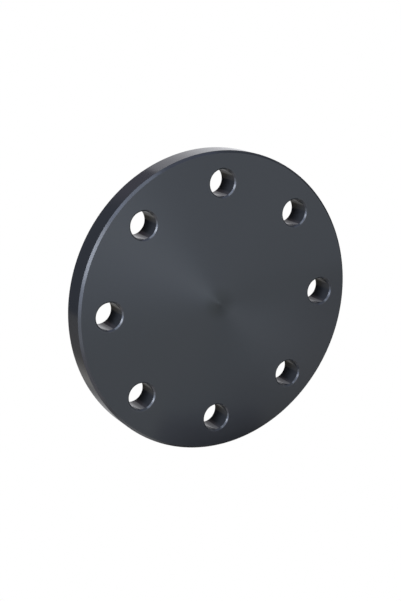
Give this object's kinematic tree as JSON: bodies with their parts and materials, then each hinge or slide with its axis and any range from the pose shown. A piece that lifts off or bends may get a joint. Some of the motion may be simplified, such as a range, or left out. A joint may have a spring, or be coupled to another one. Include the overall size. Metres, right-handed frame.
{
  "type": "blind flange",
  "caption": "Flat turned plastic disc with a chamfered rim and a ring of chamfered through bolt holes, for closing off the end of a flanged pipe.",
  "frame": {"origin": "centre of the flat back face, which is the sealing face and the face the flange lies on", "axes": "+Z out of the front face, along the disc's axis; +X and +Y each pass through the middle of a bolt hole"},
  "size_m": [0.202, 0.202, 0.0175],
  "materials": {
    "pvc_grey": "machined dark grey PVC-U, satin, with fine concentric turning marks on both faces and round the rim"
  },
  "bodies": {
    "root": {"blind_flange": "pvc_grey"}
  },
  "joints": []
}
